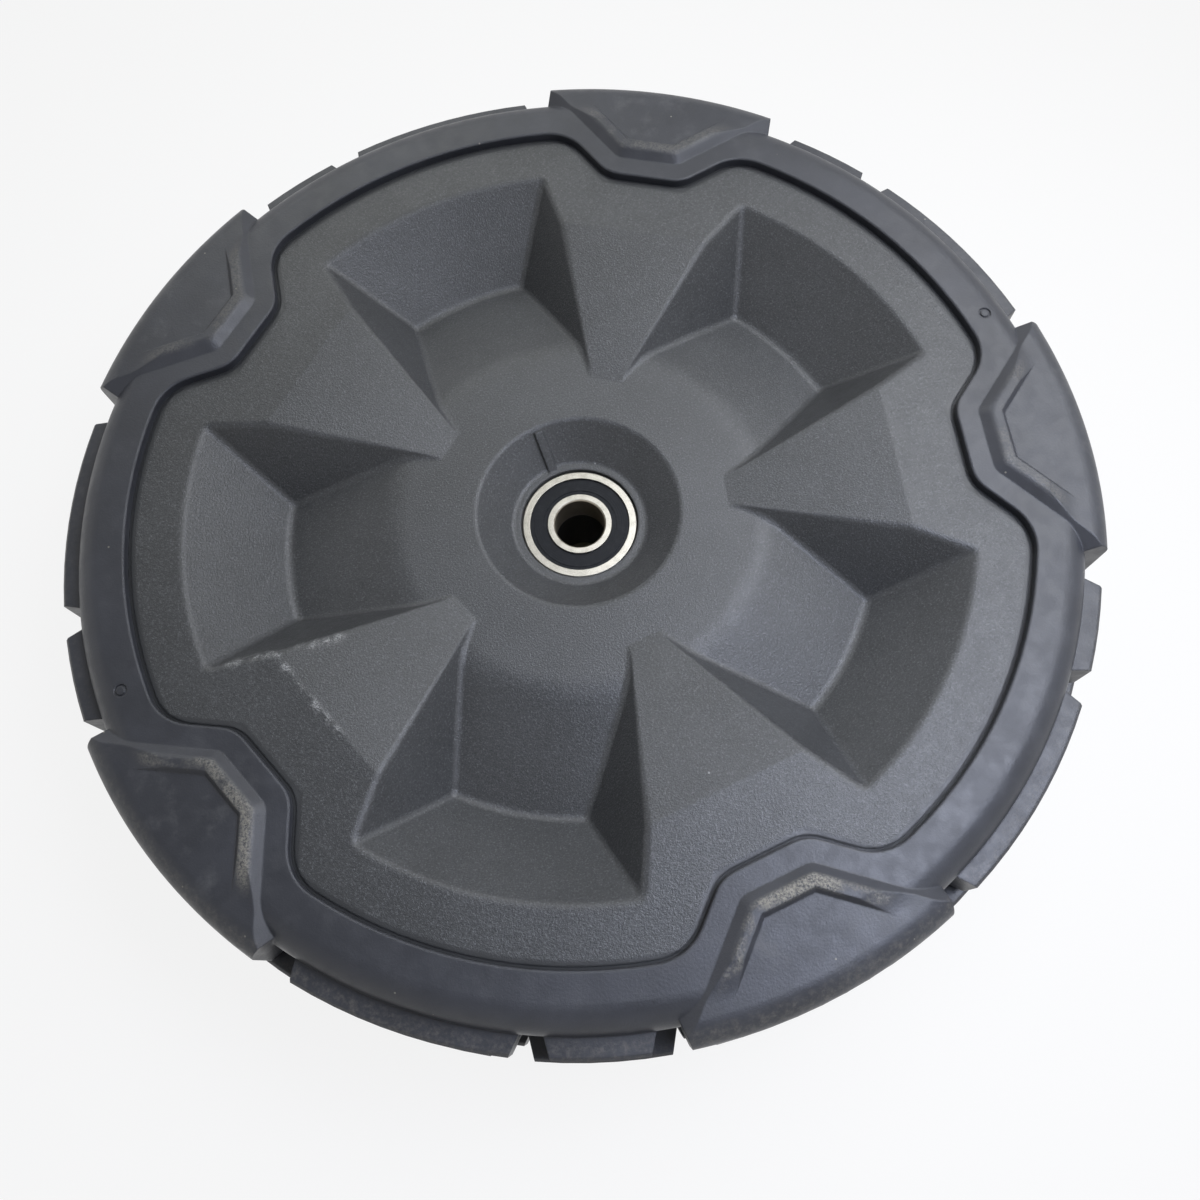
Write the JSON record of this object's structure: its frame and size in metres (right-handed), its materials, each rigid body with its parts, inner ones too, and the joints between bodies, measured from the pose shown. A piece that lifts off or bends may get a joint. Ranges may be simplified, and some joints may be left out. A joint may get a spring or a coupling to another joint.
{
  "type": "wheel",
  "caption": "Moulded plastic utility wheel with wedge pockets, an overmoulded lugged rubber tyre and sealed ball bearings in its hub, for a plain axle.",
  "frame": {"origin": "on the wheel's axis, in the plane of the rear sidewall that the wheel rests on", "axes": "+Z along the axle, towards the wheel's outer face; +X through the middle of one tyre lug"},
  "size_m": [0.297, 0.297, 0.0732],
  "materials": {
    "disc_plastic": "fine eroded grain, smooth strip beside the rubber",
    "tyre_rubber": "matte moulded rubber with dusty scuffs on the lugs",
    "ring_steel": "ground and polished",
    "ball_steel": "polished",
    "cage_steel": "pressed sheet",
    "seal_rubber": "smooth matte",
    "sleeve_steel": "drawn tube"
  },
  "bodies": {
    "wheel": {"wheel_disc": "disc_plastic", "tyre": "tyre_rubber", "front_bearing_outer_ring": "ring_steel", "front_bearing_seal_upper": "seal_rubber", "front_bearing_seal_lower": "seal_rubber", "rear_bearing_outer_ring": "ring_steel", "rear_bearing_seal_upper": "seal_rubber", "rear_bearing_seal_lower": "seal_rubber"},
    "axle_side": {"spacer_sleeve": "sleeve_steel", "front_bearing_inner_ring": "ring_steel", "rear_bearing_inner_ring": "ring_steel"},
    "front_rolling_set": {"front_bearing_balls": "ball_steel", "front_bearing_cage_upper": "cage_steel", "front_bearing_cage_lower": "cage_steel", "front_bearing_cage_rivets": "cage_steel"},
    "rear_rolling_set": {"rear_bearing_balls": "ball_steel", "rear_bearing_cage_upper": "cage_steel", "rear_bearing_cage_lower": "cage_steel", "rear_bearing_cage_rivets": "cage_steel"}
  },
  "joints": [
    {"name": "axle_spin", "type": "hinge", "parent": "wheel", "child": "axle_side", "pos_m": [0, 0, 0.0266], "axis": [0, 0, 1], "continuous": true},
    {"name": "front_balls_spin", "type": "hinge", "parent": "wheel", "child": "front_rolling_set", "pos_m": [0, 0, 0.0431], "axis": [0, 0, 1], "continuous": true},
    {"name": "rear_balls_spin", "type": "hinge", "parent": "wheel", "child": "rear_rolling_set", "pos_m": [0, 0, 0.0101], "axis": [0, 0, 1], "continuous": true}
  ],
  "couplings": [
    {"joint": "front_balls_spin", "follows": "axle_spin", "ratio": 0.3809},
    {"joint": "rear_balls_spin", "follows": "axle_spin", "ratio": 0.3809}
  ]
}
